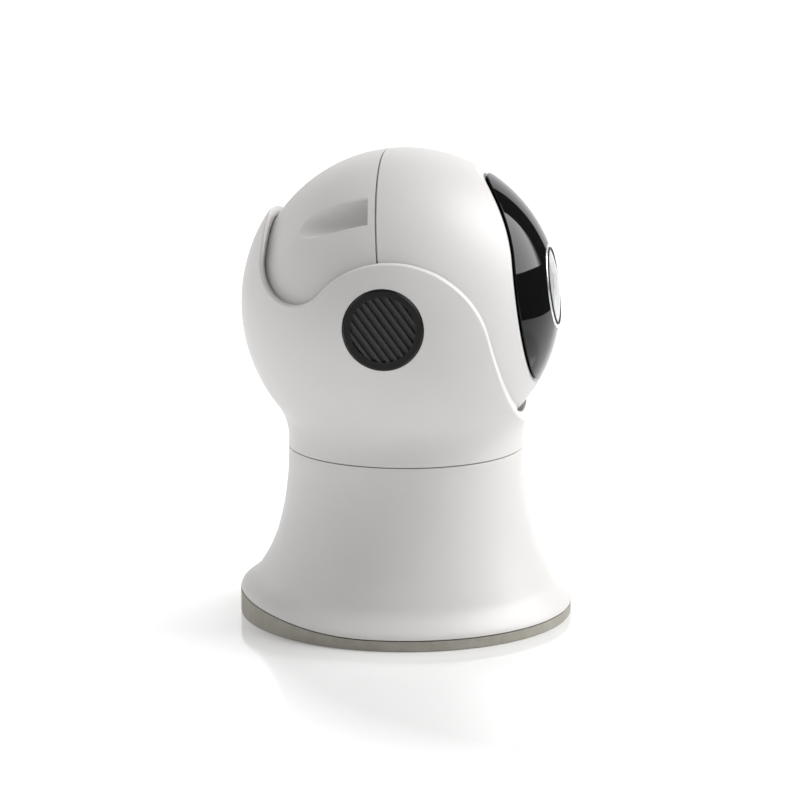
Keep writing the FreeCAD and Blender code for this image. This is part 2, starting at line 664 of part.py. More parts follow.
def make_fixed_tilt_gear():
    """Gear inside the head that stays with the cradle, on a stub axle through the left ear."""
    wheel = gear(TILT_GEAR_TEETH, TILT_MODULE, TILT_GEAR_T, 0.0,
                 -90.0 - TILT_DRIVE_ANGLE - HEAD_TILT)
    wheel = on_tilt_axis(wheel, TILT_GEAR_X)
    axle = cylinder(PIVOT_R, CUP_FLOOR - TILT_GEAR_X, (TILT_GEAR_X, 0, BALL_Z), X_AXIS)
    key = box((1.9, AXLE_KEY - 0.1, AXLE_KEY - 0.1), (CUP_FLOOR + 0.95, 0, BALL_Z))
    pilot = cylinder(1.0, 12.0, (TILT_GEAR_X - 1, 0, BALL_Z), X_AXIS)
    return fuse([wheel, axle, key]).cut(pilot)


def make_axle_screw():
    return screw(3.6, 1.4, 0.98, 8.0, (CUP_FLOOR + CUP_FLOOR_T + 0.05, 0, BALL_Z), (-1, 0, 0))


def on_tilt_axis(shape, x, forward=0.0, up=0.0):
    """Move a piece drawn about the Z axis onto an axis along X inside the level head."""
    copy = turned(shape, 90, axis=Y_AXIS)
    copy.translate(Vector(x, -forward, BALL_Z + up))
    return copy


# ================================================================ head, drawn with the lens level
def ahead(radius, near, far, x=0.0, up=0.0):
    """A cylinder along the lens axis between two forward distances from the ball's centre."""
    return Part.makeCylinder(radius, far - near, side_point(near, up, x), Vector(0, -1, 0))


def block_ahead(width, height, near, far, x=0.0, up=0.0):
    return box((width, far - near, height), (x, -(near + far) / 2, BALL_Z + up))


def shell_between(outer_r, inner_r, axis=Z_AXIS):
    return sphere(outer_r, axis).cut(sphere(inner_r, axis))


def side_pockets(radius, floor):
    return group([cylinder(radius, 16.0, (sign * floor, 0, BALL_Z), ear_axis(sign)) for sign in (1, -1)])


def scoop(grow=0.0):
    """Cutter for the right-hand grip scoop: a round groove along the lens axis with a flat front end."""
    start = Vector(0, SCOOP_FRONT - grow, BALL_Z + SCOOP_AXIS_R)
    groove = Part.makeCylinder(SCOOP_R + grow, BALL_R, start, Y_AXIS)
    return turned(groove, SCOOP_ANGLE - 90.0, (0, 0, BALL_Z), Y_AXIS)


def visor_front(offset=0.0):
    """The space ahead of the visor's edge; a positive offset moves the edge rearwards."""
    face = VISOR_FACE - offset
    centre = VISOR_FACE - VISOR_ARC_R
    radius = VISOR_ARC_R - offset
    turn = radians(25)
    middle = (centre + radius * cos(turn), VISOR_ARC_UP + radius * sin(turn))
    end = (centre + radius * cos(2 * turn), VISOR_ARC_UP + radius * sin(2 * turn))
    edges = polyline([side_point(face, -FAR), side_point(face, VISOR_ARC_UP)])
    edges.append(arc(side_point(face, VISOR_ARC_UP), side_point(*middle), side_point(*end)))
    edges += polyline([side_point(*end), side_point(FAR, FAR), side_point(FAR, -FAR),
                       side_point(face, -FAR)])
    return prism_across(edges)


def half_space(rear_side):
    """All that lies on one side of the ball's seam."""
    y = (FAR + HEAD_SEAM_GAP) / 2
    return box((2 * FAR, FAR, 2 * FAR), (0, y if rear_side else -y, BALL_Z))


def seam_tongue(grow=0.0):
    """Lip of the rear shell that enters the front shell all round the seam."""
    ring = shell_between(BALL_R - 1.15 + grow, BALL_R - 1.9 - grow, Y_AXIS)
    band = box((2 * FAR, 1.8 + grow, 2 * FAR), (0, -0.5 - grow / 2, BALL_Z))
    pockets = cylinder(POCKET_R + HEAD_WALL + 0.4 - grow, 2 * FAR, (-FAR, 0, BALL_Z), X_AXIS)
    return ring.common(band).cut(pockets)


def hollow_ball(outside, pocket_walls=()):
    """The ball's skin: its outside less the room inside, with both ear pockets sunk in."""
    outer = outside.cut(side_pockets(POCKET_R, POCKET_FLOOR))
    inner = sphere(BALL_R - HEAD_WALL).cut(side_pockets(POCKET_R + HEAD_WALL, POCKET_FLOOR - HEAD_WALL))
    for wall in pocket_walls:
        inner = inner.cut(wall)
    return outer.cut(inner)


def scooped_ball():
    """The ball's outside with both grip scoops, their long edges softened."""
    ball = sphere(BALL_R).cut(group([scoop(), mirrored_x(scoop())]))
    grooves = [face for face in ball.Faces if isinstance(face.Surface, Part.Cylinder)]
    rims = [edge for face in grooves for edge in face.Edges if on_sphere(edge, BALL_R)]
    return smooth(ball, rims, SCOOP_ROUND)


def axle_holes():
    left = cylinder(BUSH_R, 6.0, (POCKET_FLOOR - 4.0, 0, BALL_Z), X_AXIS)
    right = cylinder(PIVOT_R + 0.02, 6.0, (-POCKET_FLOOR + 4.0, 0, BALL_Z), Vector(-1, 0, 0))
    return [left, right]


def service_angle(shape):
    """Swing a piece drawn straight ahead down to the service slot."""
    return turned(shape, -SERVICE_ANGLE, (0, 0, BALL_Z), X_AXIS)


def make_front_shell():
    shell = hollow_ball(sphere(BALL_R)).common(half_space(False)).cut(visor_front(VISOR_GAP))
    seam = [e for e in shell.Edges if on_sphere(e, BALL_R) and e.BoundBox.YMin > -HEAD_SEAM_GAP]
    shell = smooth(shell, seam, SEAM_ROUND)
    ledge = shell_between(BALL_R - VISOR_T - 0.1, BALL_R - VISOR_T - 1.6)
    ledge = ledge.common(visor_front(2.5)).cut(visor_front(-3.0))
    shell = shell.fuse(ledge).cut(seam_tongue(0.12))
    slot = block_ahead(12.0, 1.3, 36.0, 50.0, 0.0, CARD_UP)
    button_hole = ahead(RESET_R + 0.15, 36.0, 50.0, RESET_X, RESET_UP)
    holes = axle_holes() + [service_angle(slot), service_angle(button_hole)]
    for sign in (1, -1):
        for up in (HEAD_SCREW_UP, -HEAD_SCREW_UP):
            start = (sign * (POCKET_FLOOR - 4.0), -5.0, BALL_Z + up)
            holes.append(cylinder(1.1, 6.0, start, ear_axis(sign)))
    return shell.cut(group(holes)).removeSplitter()


def screw_tabs():
    """Tabs of the rear shell that lie behind the front shell's pocket floors."""
    tabs = []
    inner = POCKET_FLOOR - HEAD_WALL
    for sign in (1, -1):
        for up in (HEAD_SCREW_UP, -HEAD_SCREW_UP):
            tabs.append(box((2.3, 13.0, 5.0), (sign * (inner - 1.25), -2.0, BALL_Z + up)))
            tabs.append(box((2.6, 4.4, 5.0), (sign * (inner - 1.1), 2.3, BALL_Z + up)))
    pilots = [cylinder(0.9, 6.0, (sign * (inner - 4.0), -5.0, BALL_Z + up), ear_axis(sign))
              for sign in (1, -1) for up in (HEAD_SCREW_UP, -HEAD_SCREW_UP)]
    return tabs, pilots


def make_rear_shell():
    scoop_walls = [scoop(SCOOP_WALL), mirrored_x(scoop(SCOOP_WALL))]
    shell = hollow_ball(scooped_ball(), scoop_walls).common(half_space(True))
    posts = []
    pilots = []
    for place in tilt_motor_holes():
        start = (place.x, place.y, place.z)
        posts.append(cylinder(2.4, 12.0, start, X_AXIS).common(sphere(BALL_R - 1.0)))
        pilots.append(cylinder(0.8, 6.0, start, X_AXIS))
    tabs, tab_pilots = screw_tabs()
    posts = [post.common(half_space(True)) for post in posts]
    tongue = seam_tongue()
    shell = shell.fuse(tongue.Solids + tabs + posts)
    return shell.cut(group(axle_holes() + pilots + tab_pilots)).removeSplitter()


def make_head_screws():
    return group([screw(1.6, 1.0, 0.88, 4.4, (sign * POCKET_FLOOR, -5.0, BALL_Z + up), (-sign, 0, 0))
                  for sign in (1, -1) for up in (HEAD_SCREW_UP, -HEAD_SCREW_UP)])


def make_visor():
    """Glossy front cover; its sunken border fills the floor of the groove round it."""
    face = shell_between(BALL_R, BALL_R - VISOR_T).common(visor_front())
    face = face.cut(ahead(LENS_RING_R + 0.05, 30.0, 50.0))
    face = smooth(face, [e for e in face.Edges if on_sphere(e, BALL_R)], VISOR_ROUND)
    border = shell_between(BALL_R - VISOR_STEP, BALL_R - VISOR_T).common(visor_front(VISOR_GAP - 0.05))
    return face.fuse(border.cut(visor_front(-VISOR_GAP))).removeSplitter()


def make_lens_ring():
    ring = ahead(LENS_RING_R, 38.8, LENS_RING_FACE).cut(ahead(LENS_RING_R - LENS_RING_W, 38.0, 44.0))
    front = [e for e in ring.Edges if abs(e.BoundBox.Center.y + LENS_RING_FACE) < 0.01]
    return smooth(ring, front, 0.35)


def make_lens_window():
    outer_r = BALL_R - 0.14
    return shell_between(outer_r, outer_r - WINDOW_T).common(ahead(WINDOW_R, 30.0, 50.0))


def make_lens_hood():
    """Cone behind the window, whose rim also seals the window in its ring."""
    outside = Part.makeCone(7.7, 10.7, 6.6, side_point(34.2, 0), Vector(0, -1, 0))
    inside = Part.makeCone(7.2, 10.2, 6.6, side_point(34.2, 0), Vector(0, -1, 0))
    seal = ahead(LENS_RING_R - LENS_RING_W - 0.02, 40.5, SEAL_FACE)
    seal = seal.cut(ahead(WINDOW_R + 0.05, 40.0, SEAL_FACE + 1.0))
    return outside.fuse(seal).cut(inside).removeSplitter()


def make_lens_barrel():
    barrel = ahead(6.0, 19.5, 37.5).fuse(ahead(7.1, 36.5, 39.0))
    return barrel.cut(ahead(5.3, 19.0, 38.0)).cut(ahead(4.6, 37.0, 40.0)).removeSplitter()


def lens_element(middle, radius, curve_r):
    """A biconvex lens at a forward distance, both faces with the same radius of curve."""
    edge = sqrt(curve_r ** 2 - radius ** 2) - 0.5
    front = Part.makeSphere(curve_r, side_point(middle - edge, 0))
    rear = Part.makeSphere(curve_r, side_point(middle + edge, 0))
    return front.common(rear).common(ahead(radius, middle - 4.0, middle + 4.0))


def make_lens_elements():
    return group([lens_element(36.3, 5.2, 14.0), lens_element(31.8, 5.2, 18.0),
                  lens_element(27.4, 5.2, 16.0), lens_element(23.2, 5.2, 20.0)])


def make_lens_holder():
    holder = block_ahead(17.0, 17.0, SENSOR_BOARD[1], 24.5)
    holder = smooth(holder, [e for e in holder.Edges if abs(e.tangentAt(0).y) > 0.9], 1.0)
    return holder.cut(ahead(6.0, 12.0, 30.0)).cut(block_ahead(12.4, 12.4, 12.0, 18.0))


def make_ir_cut_filter():
    return block_ahead(12.0, 12.0, 15.4, 16.2)


def make_image_sensor():
    return block_ahead(8.4, 8.4, SENSOR_BOARD[1], SENSOR_BOARD[1] + 1.0)


def board_corners():
    return [(x, up) for x in (-POST_SPREAD, POST_SPREAD) for up in (-POST_SPREAD, POST_SPREAD)]


def drilled(board, faces):
    """A head board with its four corner holes."""
    rear, front = faces
    return board.cut(group([ahead(BOARD_HOLE_R, rear - 1, front + 1, x, up) for x, up in board_corners()]))


def corner_tubes(near, far, bore):
    return group([ahead(2.2, near, far, x, up).cut(ahead(bore, near - 1, far + 1, x, up))
                  for x, up in board_corners()])


def make_sensor_board():
    return drilled(block_ahead(36.0, 36.0, *SENSOR_BOARD), SENSOR_BOARD)


def make_ir_board():
    board = ahead(23.4, *IR_BOARD).cut(ahead(8.4, IR_BOARD[0] - 1, IR_BOARD[1] + 1))
    return drilled(board, IR_BOARD)


def make_board_posts():
    return corner_tubes(SENSOR_BOARD[1], IR_BOARD[0], 0.8)


def make_ir_leds():
    leds = []
    base = IR_BOARD[1]
    for index in range(LED_COUNT):
        x, up, _ = polar(LED_PCR, index * 360.0 / LED_COUNT)
        dome = Part.makeSphere(1.5, side_point(base + 2.4, up, x))
        led = ahead(1.5, base, base + 2.4, x, up).fuse([dome, ahead(1.8, base, base + 0.6, x, up)])
        leds.append(led.removeSplitter())
    return group(leds)


def make_light_sensor():
    return ahead(1.6, IR_BOARD[1], IR_BOARD[1] + 1.6, 0.0, 19.3)


def make_main_board():
    return drilled(block_ahead(44.0, 46.0, *MAIN_BOARD), MAIN_BOARD)


def make_board_spacers():
    return corner_tubes(MAIN_BOARD[1], SENSOR_BOARD[0], BOARD_HOLE_R)


def make_chassis_screws():
    return group([screw(1.9, 1.2, 0.78, 9.0, tuple(side_point(MAIN_BOARD[0], up, x)), (0, -1, 0))
                  for x, up in board_corners()])


def make_processor_shield():
    shield = block_ahead(20.0, 20.0, MAIN_BOARD[0] - 3.0, MAIN_BOARD[0], -3.0, 2.0)
    return smooth(shield, [e for e in shield.Edges if abs(e.tangentAt(0).y) > 0.9], 0.8)


def make_heat_sink():
    base = block_ahead(16.0, 16.0, 2.4, 3.8, -3.0, 2.0)
    fins = [block_ahead(1.0, 16.0, -2.6, 2.5, -10.5 + 2.5 * i, 2.0) for i in range(7)]
    return fuse([base] + fins)


def make_antenna():
    strip = block_ahead(24.0, 7.0, -14.8, -14.0, 0.0, 31.5)
    return strip.fuse(block_ahead(3.0, 3.0, -14.0, -13.0, 0.0, 30.0)).removeSplitter()


def make_service_board():
    return service_angle(block_ahead(26.0, 1.0, 21.0, 37.4, 2.5, 0.0))


def make_card_socket():
    body = block_ahead(14.4, 1.9, 22.5, 37.4, 0.0, CARD_UP)
    mouth = block_ahead(11.6, 1.0, 24.0, 39.0, 0.0, CARD_UP)
    return service_angle(body.cut(mouth))


def make_reset_switch():
    return service_angle(block_ahead(4.2, 2.6, 32.8, 36.8, RESET_X, RESET_UP))


def make_reset_button():
    stem = ahead(RESET_R, 37.3, 41.9, RESET_X, RESET_UP)
    stem = smooth(stem, [e for e in stem.Edges if abs(e.BoundBox.Center.y + 41.9) < 0.01], 0.3)
    return service_angle(stem.fuse(ahead(1.9, 38.5, 39.4, RESET_X, RESET_UP)))


def make_pivot_tube():
    axis = Vector(-1, 0, 0)
    inner = POCKET_FLOOR - HEAD_WALL
    flange = cylinder(8.0, 1.6, (-(inner - 1.6), 0, BALL_Z), axis)
    stem = cylinder(PIVOT_R, CUP_FLOOR + CUP_FLOOR_T - 0.1 - inner, (-inner, 0, BALL_Z), axis)
    return flange.fuse(stem).cut(cylinder(3.4, 12.0, (-(inner - 2), 0, BALL_Z), axis)).removeSplitter()


def make_left_head_bush():
    inner = POCKET_FLOOR - HEAD_WALL
    flange = cylinder(8.2, 1.0, (inner - 1.0, 0, BALL_Z), X_AXIS)
    sleeve = cylinder(BUSH_R, HEAD_WALL + 0.2, (inner, 0, BALL_Z), X_AXIS)
    bore = cylinder(PIVOT_R + RUNNING_FIT, 8.0, (inner - 2, 0, BALL_Z), X_AXIS)
    return flange.fuse(sleeve).cut(bore).removeSplitter()


def tilt_drive():
    """Position of the tilt pinion's axis and the direction from the tilt axis to it."""
    towards = Vector(0, -cos(radians(TILT_DRIVE_ANGLE)), sin(radians(TILT_DRIVE_ANGLE)))
    at = towards * TILT_CENTRES + Vector(0, 0, BALL_Z)
    return tuple(at), tuple(towards)


def make_tilt_motor():
    at, towards = tilt_drive()
    return stepper(at, towards, TILT_MOTOR_FACE, (1, 0, 0))


def tilt_motor_holes():
    at, towards = tilt_drive()
    return stepper_holes(at, towards, TILT_MOTOR_FACE, (1, 0, 0))


def make_tilt_motor_screws():
    return group([screw(1.9, 1.1, 0.78, 5.0, tuple(place - X_AXIS), (1, 0, 0))
                  for place in tilt_motor_holes()])


def make_tilt_pinion():
    phase = 90.0 - TILT_DRIVE_ANGLE + 180.0 / TILT_PINION_TEETH
    wheel = gear(TILT_PINION_TEETH, TILT_MODULE, TILT_GEAR_T + 0.2, 0.0, phase)
    shaft = cylinder(SHAFT_R, TILT_GEAR_X + TILT_GEAR_T - TILT_MOTOR_FACE + 5.0,
                     (0, 0, TILT_MOTOR_FACE - TILT_GEAR_X - 4.9))
    forward = TILT_CENTRES * cos(radians(TILT_DRIVE_ANGLE))
    up = TILT_CENTRES * sin(radians(TILT_DRIVE_ANGLE))
    return on_tilt_axis(wheel.fuse(shaft), TILT_GEAR_X - 0.1, forward, up)


# ================================================================ write every node
BASE = {
    "foot_pad": make_foot_pad,
    "bottom_plate": make_bottom_plate,
    "base_screws": make_base_screws,
    "base_shell": make_base_shell,
    "ballast_plate": make_ballast_plate,
    "power_socket": make_power_socket,
    "power_board": make_power_board,
    "board_screws": make_board_screws,
    "base_deck": make_base_deck,
    "deck_screws": make_deck_screws,
    "pan_motor": make_pan_motor,
    "pan_motor_screws": make_pan_motor_screws,
    "pan_slip_ring": make_pan_slip_ring,
    "pan_pinion": make_pan_pinion,
}
CRADLE = {
    "cradle_shell": make_cradle_shell,
    "pan_gear": make_pan_gear,
    "pan_retainer": make_pan_retainer,
    "retainer_screws": make_retainer_screws,
    "cradle_screws": make_cradle_screws,
    "left_ear_cup": make_left_ear_cup,
    "right_ear_cup": make_right_ear_cup,
    "left_grille": lambda: make_grille(1),
    "right_grille": lambda: make_grille(-1),
    "speaker": make_speaker,
    "microphone_board": make_microphone_board,
    "right_ear_bush": make_right_ear_bush,
    "fixed_tilt_gear": make_fixed_tilt_gear,
    "axle_screw": make_axle_screw,
}
HEAD = {
    "front_shell": make_front_shell,
    "rear_shell": make_rear_shell,
    "head_screws": make_head_screws,
    "visor": make_visor,
    "lens_ring": make_lens_ring,
    "lens_window": make_lens_window,
    "lens_hood": make_lens_hood,
    "lens_barrel": make_lens_barrel,
    "lens_elements": make_lens_elements,
    "lens_holder": make_lens_holder,
    "ir_cut_filter": make_ir_cut_filter,
    "image_sensor": make_image_sensor,
    "sensor_board": make_sensor_board,
    "board_posts": make_board_posts,
    "ir_board": make_ir_board,
    "ir_leds": make_ir_leds,
    "light_sensor": make_light_sensor,
    "main_board": make_main_board,
    "board_spacers": make_board_spacers,
    "chassis_screws": make_chassis_screws,
    "processor_shield": make_processor_shield,
    "heat_sink": make_heat_sink,
    "antenna": make_antenna,
    "service_board": make_service_board,
    "card_socket": make_card_socket,
    "reset_switch": make_reset_switch,
    "reset_button": make_reset_button,
    "pivot_tube": make_pivot_tube,
    "left_head_bush": make_left_head_bush,
    "tilt_motor": make_tilt_motor,
    "tilt_motor_screws": make_tilt_motor_screws,
    "tilt_pinion": make_tilt_pinion,
}


def main():
    os.makedirs("parts", exist_ok=True)
    for name, make in {**BASE, **CRADLE}.items():
        make().exportStep("parts/" + name + ".step")
    for name, make in HEAD.items():
        in_head(make()).exportStep("parts/" + name + ".step")


main()
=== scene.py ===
import json
import math

import bpy
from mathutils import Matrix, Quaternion, Vector


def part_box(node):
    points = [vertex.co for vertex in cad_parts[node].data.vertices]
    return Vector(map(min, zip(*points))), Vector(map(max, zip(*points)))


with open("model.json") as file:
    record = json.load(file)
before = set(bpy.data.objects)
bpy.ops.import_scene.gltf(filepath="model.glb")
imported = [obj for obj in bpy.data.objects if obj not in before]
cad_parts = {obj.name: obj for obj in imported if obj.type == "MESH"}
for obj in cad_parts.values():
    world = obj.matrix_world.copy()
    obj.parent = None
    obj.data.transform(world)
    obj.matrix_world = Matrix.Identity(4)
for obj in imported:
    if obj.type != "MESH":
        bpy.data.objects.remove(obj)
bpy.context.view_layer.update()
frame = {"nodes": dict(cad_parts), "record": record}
for plain in list(bpy.data.materials):
    bpy.data.materials.remove(plain)

# ---------------------------------------------------------------- camera, in metres and degrees
AZIMUTH = 278.0
DISTANCE = 0.950            # horizontal, from the turning axis
CAMERA_Z = 0.2546
PITCH = 11.505
LENS_MM = 152.9
SENSOR_MM = 36.0
SHIFT_X = -0.00755
CLIP_START, CLIP_END = 0.05, 60.0

MIDDLE_UP = 0.08            # height of the object's middle, which the studio is set round
HEAD_TILT = 7.65            # degrees the lens looks above the level at rest
WINDOW_R = 0.01045
# radius of the grille's slat area, which is painted paler as a painted highlight
SLAT_HIGHLIGHT_ZONE_R = 0.0092        # of the grille, inside its rim
TRACK_CELL = 1.0 / 700.0    # of a circuit board's copper tracks
DOT_CELL = 0.0026           # between a circuit board's plated dots
PLATED_DOT = (0.55, 0.5, 0.34)
WHITE = (1.0, 1.0, 1.0)
BLACK = (0.0, 0.0, 0.0)
UNLIMITED = 100.0           # a half width so large that its direction doesn't count


# ================================================================ material helpers
class Finish:
    """A node material built up from procedural layers on one Principled shader."""

    def __init__(self, name, **sockets):
        self.material = bpy.data.materials.new(name)
        self.material.use_nodes = True
        self.tree = self.material.node_tree
        self.shader = self.tree.nodes["Principled BSDF"]
        for socket, value in sockets.items():
            self.shader.inputs[socket.replace("_", " ")].default_value = value
        self.place = self.node("ShaderNodeTexCoord").outputs["Object"]
        self.normal = None

    def node(self, kind, **settings):
        made = self.tree.nodes.new(kind)
        for key, value in settings.items():
            setattr(made, key, value)
        return made

    def link(self, output, target):
        self.tree.links.new(output, target)

    def stretched(self, scale):
        """Coordinates scaled by axis, which turns a round grain into a brushed or streaked one."""
        mapping = self.node("ShaderNodeMapping")
        mapping.inputs["Scale"].default_value = scale
        self.link(self.place, mapping.inputs["Vector"])
        return mapping.outputs["Vector"]

    def noise(self, size, detail=2.0, place=None):
        """Grain whose grains are about size metres across."""
        made = self.node("ShaderNodeTexNoise")
        made.inputs["Scale"].default_value = 1.0 / size
        made.inputs["Detail"].default_value = detail
        self.link(place or self.place, made.inputs["Vector"])
        return made.outputs["Fac"]

    def cells(self, size):
        """Round spots, one to a cell about size metres across."""
        made = self.node("ShaderNodeTexVoronoi")
        made.inputs["Scale"].default_value = 1.0 / size
        self.link(self.place, made.inputs["Vector"])
        return made.outputs["Distance"]

    def ramp(self, value, stops):
        """Colours at positions along a 0 to 1 value."""
        made = self.node("ShaderNodeValToRGB")
        elements = made.color_ramp.elements
        while len(elements) < len(stops):
            elements.new(0.5)
        for element, (position, colour) in zip(elements, stops):
            element.position = position
            element.color = (*colour, 1.0)
        self.link(value, made.inputs["Fac"])
        return made.outputs["Color"]

    def mix(self, amount, first, second):
        made = self.node("ShaderNodeMix", data_type="RGBA")
        for socket, value in zip((made.inputs["Factor"], made.inputs["A"], made.inputs["B"]),
                                 (amount, first, second)):
            self.feed(value, socket)
        return made.outputs["Result"]

    def feed(self, value, socket):
        if isinstance(value, bpy.types.NodeSocket):
            self.link(value, socket)
        else:
            socket.default_value = value

    def spread(self, value, low, high, start=0.3, end=0.7):
        """Turns a 0 to 1 value into a range, such as of roughness."""
        made = self.node("ShaderNodeMapRange")
        for name, number in (("From Min", start), ("From Max", end), ("To Min", low), ("To Max", high)):
            made.inputs[name].default_value = number
        self.link(value, made.inputs["Value"])
        return made.outputs["Result"]

    def disc_fade(self, centre, half_widths, rotation=(0.0, 0.0, 0.0)):
        """1 at the centre, falling to 0 at half_widths from it; UNLIMITED leaves a direction out."""
        disc = self.node("ShaderNodeMapping", vector_type="TEXTURE")
        disc.inputs["Location"].default_value = centre
        disc.inputs["Rotation"].default_value = rotation
        disc.inputs["Scale"].default_value = half_widths
        self.link(self.place, disc.inputs["Vector"])
        fade = self.node("ShaderNodeTexGradient", gradient_type="SPHERICAL")
        self.link(disc.outputs["Vector"], fade.inputs["Vector"])
        return fade.outputs["Fac"]

    def colour(self, value):
        self.link(value, self.shader.inputs["Base Color"])

    def roughness(self, value):
        self.link(value, self.shader.inputs["Roughness"])

    def bump(self, height, depth):
        """Adds relief that is depth metres high; further calls lie on the ones before."""
        made = self.node("ShaderNodeBump")
        made.inputs["Distance"].default_value = depth
        self.link(height, made.inputs["Height"])
        if self.normal:
            self.link(self.normal, made.inputs["Normal"])
        self.normal = made.outputs["Normal"]
        self.link(self.normal, self.shader.inputs["Normal"])


def shade(colour, factor):
    return tuple(min(1.0, c * factor) for c in colour)


def moulded(name, colour, rough, grain=0.00025, depth=0.000004, drift=0.03, **sockets):
    """Moulded plastic: spark-eroded grain, slow drift of tone and faint handling marks."""
    f = Finish(name, **sockets)
    slow = f.noise(0.03, 3.0)
    tone = f.ramp(slow, [(0.3, shade(colour, 1.0 - drift)), (0.7, shade(colour, 1.0 + drift))])
    f.colour(tone)
    fine = f.noise(grain, 4.0)
    marks = f.noise(0.008, 6.0, f.stretched((1.0, 1.0, 2.5)))
    blend = f.mix(0.35, fine, marks)
    f.roughness(f.spread(blend, rough - 0.05, rough + 0.06))
    f.bump(fine, depth)
    return f.material


def metal(name, colour, rough, direction, depth=0.000003):
    """Plated or brushed metal with fine lines along one direction."""
    f = Finish(name, Metallic=1.0)
    lines = f.noise(0.0006, 3.0, f.stretched(direction))
    cloud = f.noise(0.006, 4.0)
    f.colour(f.ramp(cloud, [(0.3, shade(colour, 0.9)), (0.7, shade(colour, 1.08))]))
    f.roughness(f.spread(f.mix(0.5, lines, cloud), rough - 0.06, rough + 0.1))
    f.bump(lines, depth)
    return f.material


def laminate(name, mask, trace):
    """Circuit board: solder mask over raised copper tracks, with plated dots."""
    f = Finish(name)
    track = f.node("ShaderNodeTexBrick")
    track.inputs["Scale"].default_value = 1.0 / TRACK_CELL
    track.inputs["Mortar Size"].default_value = 0.012
    track.inputs["Color1"].default_value = (*BLACK, 1.0)
    track.inputs["Color2"].default_value = (0.12, 0.12, 0.12, 1.0)
    track.inputs["Mortar"].default_value = (*WHITE, 1.0)
    f.link(f.place, track.inputs["Vector"])
    dots = f.ramp(f.cells(DOT_CELL), [(0.10, WHITE), (0.16, BLACK)])
    weave = f.noise(0.0004, 2.0)
    board = f.mix(track.outputs["Color"], (*mask, 1.0), (*trace, 1.0))
    board = f.mix(dots, board, (*PLATED_DOT, 1.0))
    f.colour(f.mix(f.spread(weave, 0.0, 0.12), board, (*BLACK, 1.0)))
    f.roughness(f.spread(weave, 0.27, 0.47))
    f.bump(track.outputs["Color"], 0.00003)
    f.bump(dots, 0.00004)
    return f.material


def clear(name, tint, rough, ior):
    """Clear plastic or glass with faint smears."""
    f = Finish(name, Transmission_Weight=1.0, IOR=ior)
    smear = f.noise(0.005, 5.0, f.stretched((1.0, 1.0, 3.0)))
    f.colour(f.ramp(smear, [(0.3, shade(tint, 0.97)), (0.7, tint)]))
    f.roughness(f.spread(smear, rough, rough + 0.03))
    f.bump(smear, 0.000001)
    return f.material


# ================================================================ the object's materials
def white_shell():
    f = Finish("white_shell", IOR=1.42)
    slow = f.noise(0.04, 3.0)
    f.colour(f.ramp(slow, [(0.35, (0.742, 0.726, 0.711)), (0.65, (0.762, 0.747, 0.733))]))
    grain = f.noise(0.00022, 3.0)
    handling = f.noise(0.012, 6.0, f.stretched((1.0, 1.0, 1.8)))
    f.roughness(f.spread(f.mix(0.5, grain, handling), 0.36, 0.5))
    f.bump(grain, 0.000004)
    return f.material


def foot_rubber():
    f = Finish("foot_rubber", Sheen_Weight=0.08, Sheen_Roughness=0.5)
    dust = f.noise(0.004, 5.0)
    f.colour(f.ramp(dust, [(0.35, (0.350, 0.333, 0.284)), (0.7, (0.410, 0.392, 0.342))]))
    grain = f.noise(0.0003, 4.0)
    f.roughness(f.spread(f.mix(0.4, grain, dust), 0.62, 0.8))
    f.bump(grain, 0.00002)
    return f.material


def visor_black():
    f = Finish("visor_black", IOR=1.36)
    cloud = f.noise(0.02, 3.0)
    f.colour(f.ramp(cloud, [(0.3, (0.0045, 0.0045, 0.0048)), (0.7, (0.0065, 0.0063, 0.0064))]))
    swirl = f.noise(0.003, 6.0, f.stretched((1.0, 2.0, 1.0)))
    f.roughness(f.spread(swirl, 0.015, 0.05))
    f.bump(f.noise(0.012, 2.0), 0.000006)
    return f.material


def grille_black():
    """Black plastic with a painted highlight: the slat area is a paler grey than the smooth rim round it,
    for the light each slat catches.
    """
    f = Finish("grille_black", IOR=1.36)
    low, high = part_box("right_grille")
    centre = (0.0, 0.0, (low[2] + high[2]) / 2)
    # painted highlight: mask of the slat area, which is painted paler than the rim
    inward = f.disc_fade(centre, (UNLIMITED, SLAT_HIGHLIGHT_ZONE_R, SLAT_HIGHLIGHT_ZONE_R))
    cloud = f.noise(0.004, 4.0)
    rim = f.ramp(cloud, [(0.3, (0.003, 0.0028, 0.0028)), (0.7, (0.005, 0.0047, 0.0047))])
    grain = f.noise(0.00025, 3.0)
    # painted highlight: a paler tone standing in for the light each slat catches
    slats_painted_highlight = f.ramp(grain, [(0.35, (0.026, 0.0240, 0.0250)), (0.65, (0.064, 0.0600, 0.0620))])
    f.colour(f.mix(f.spread(inward, 0.0, 1.0, 0.0, 0.04), rim, slats_painted_highlight))
    f.roughness(f.spread(f.mix(0.4, grain, cloud), 0.26, 0.42))
    f.bump(grain, 0.000008)
    return f.material


def window_clear():
    """Clear dome with a frosted border, which hides the gap round the lens."""
    f = Finish("window_clear", IOR=1.36)
    low, high = (Vector(corner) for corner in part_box("lens_window"))
    tilt = (-math.radians(HEAD_TILT), 0.0, 0.0)
    inward = f.disc_fade((low + high) / 2, (WINDOW_R, UNLIMITED, WINDOW_R), tilt)
    f.link(f.spread(inward, 0.15, 0.93, 0.28, 0.5), f.shader.inputs["Transmission Weight"])
    smear = f.noise(0.004, 5.0, f.stretched((1.0, 1.0, 2.0)))
    f.colour(f.ramp(smear, [(0.3, (0.56, 0.57, 0.57)), (0.7, (0.60, 0.61, 0.61))]))
    f.roughness(f.spread(smear, 0.04, 0.1))
    f.bump(smear, 0.000001)
    return f.material


